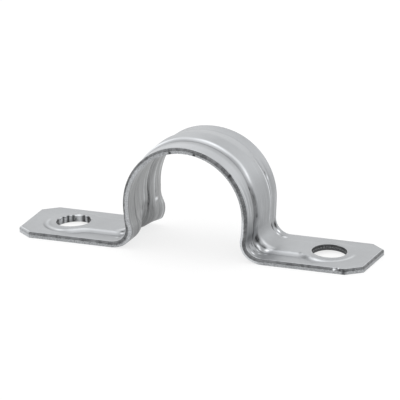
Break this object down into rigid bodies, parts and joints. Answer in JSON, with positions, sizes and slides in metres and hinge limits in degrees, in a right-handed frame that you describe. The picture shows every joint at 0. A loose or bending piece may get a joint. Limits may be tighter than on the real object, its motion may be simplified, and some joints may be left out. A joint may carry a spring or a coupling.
{
  "type": "two-hole conduit strap",
  "caption": "Stamped steel pipe strap: a round arch with an embossed rib, and a flat flange with a screw hole on each side.",
  "frame": {"origin": "middle of the strap, on the wall plane that both flanges lie on", "axes": "+X along the strap from hole to hole, +Y across the strip along the conduit, +Z away from the wall"},
  "size_m": [0.09, 0.0192, 0.028],
  "materials": {
    "zinc_steel": "satin zinc coating, dull grey, with bare sheared edges"
  },
  "bodies": {
    "root": {"strap": "zinc_steel"}
  },
  "joints": []
}
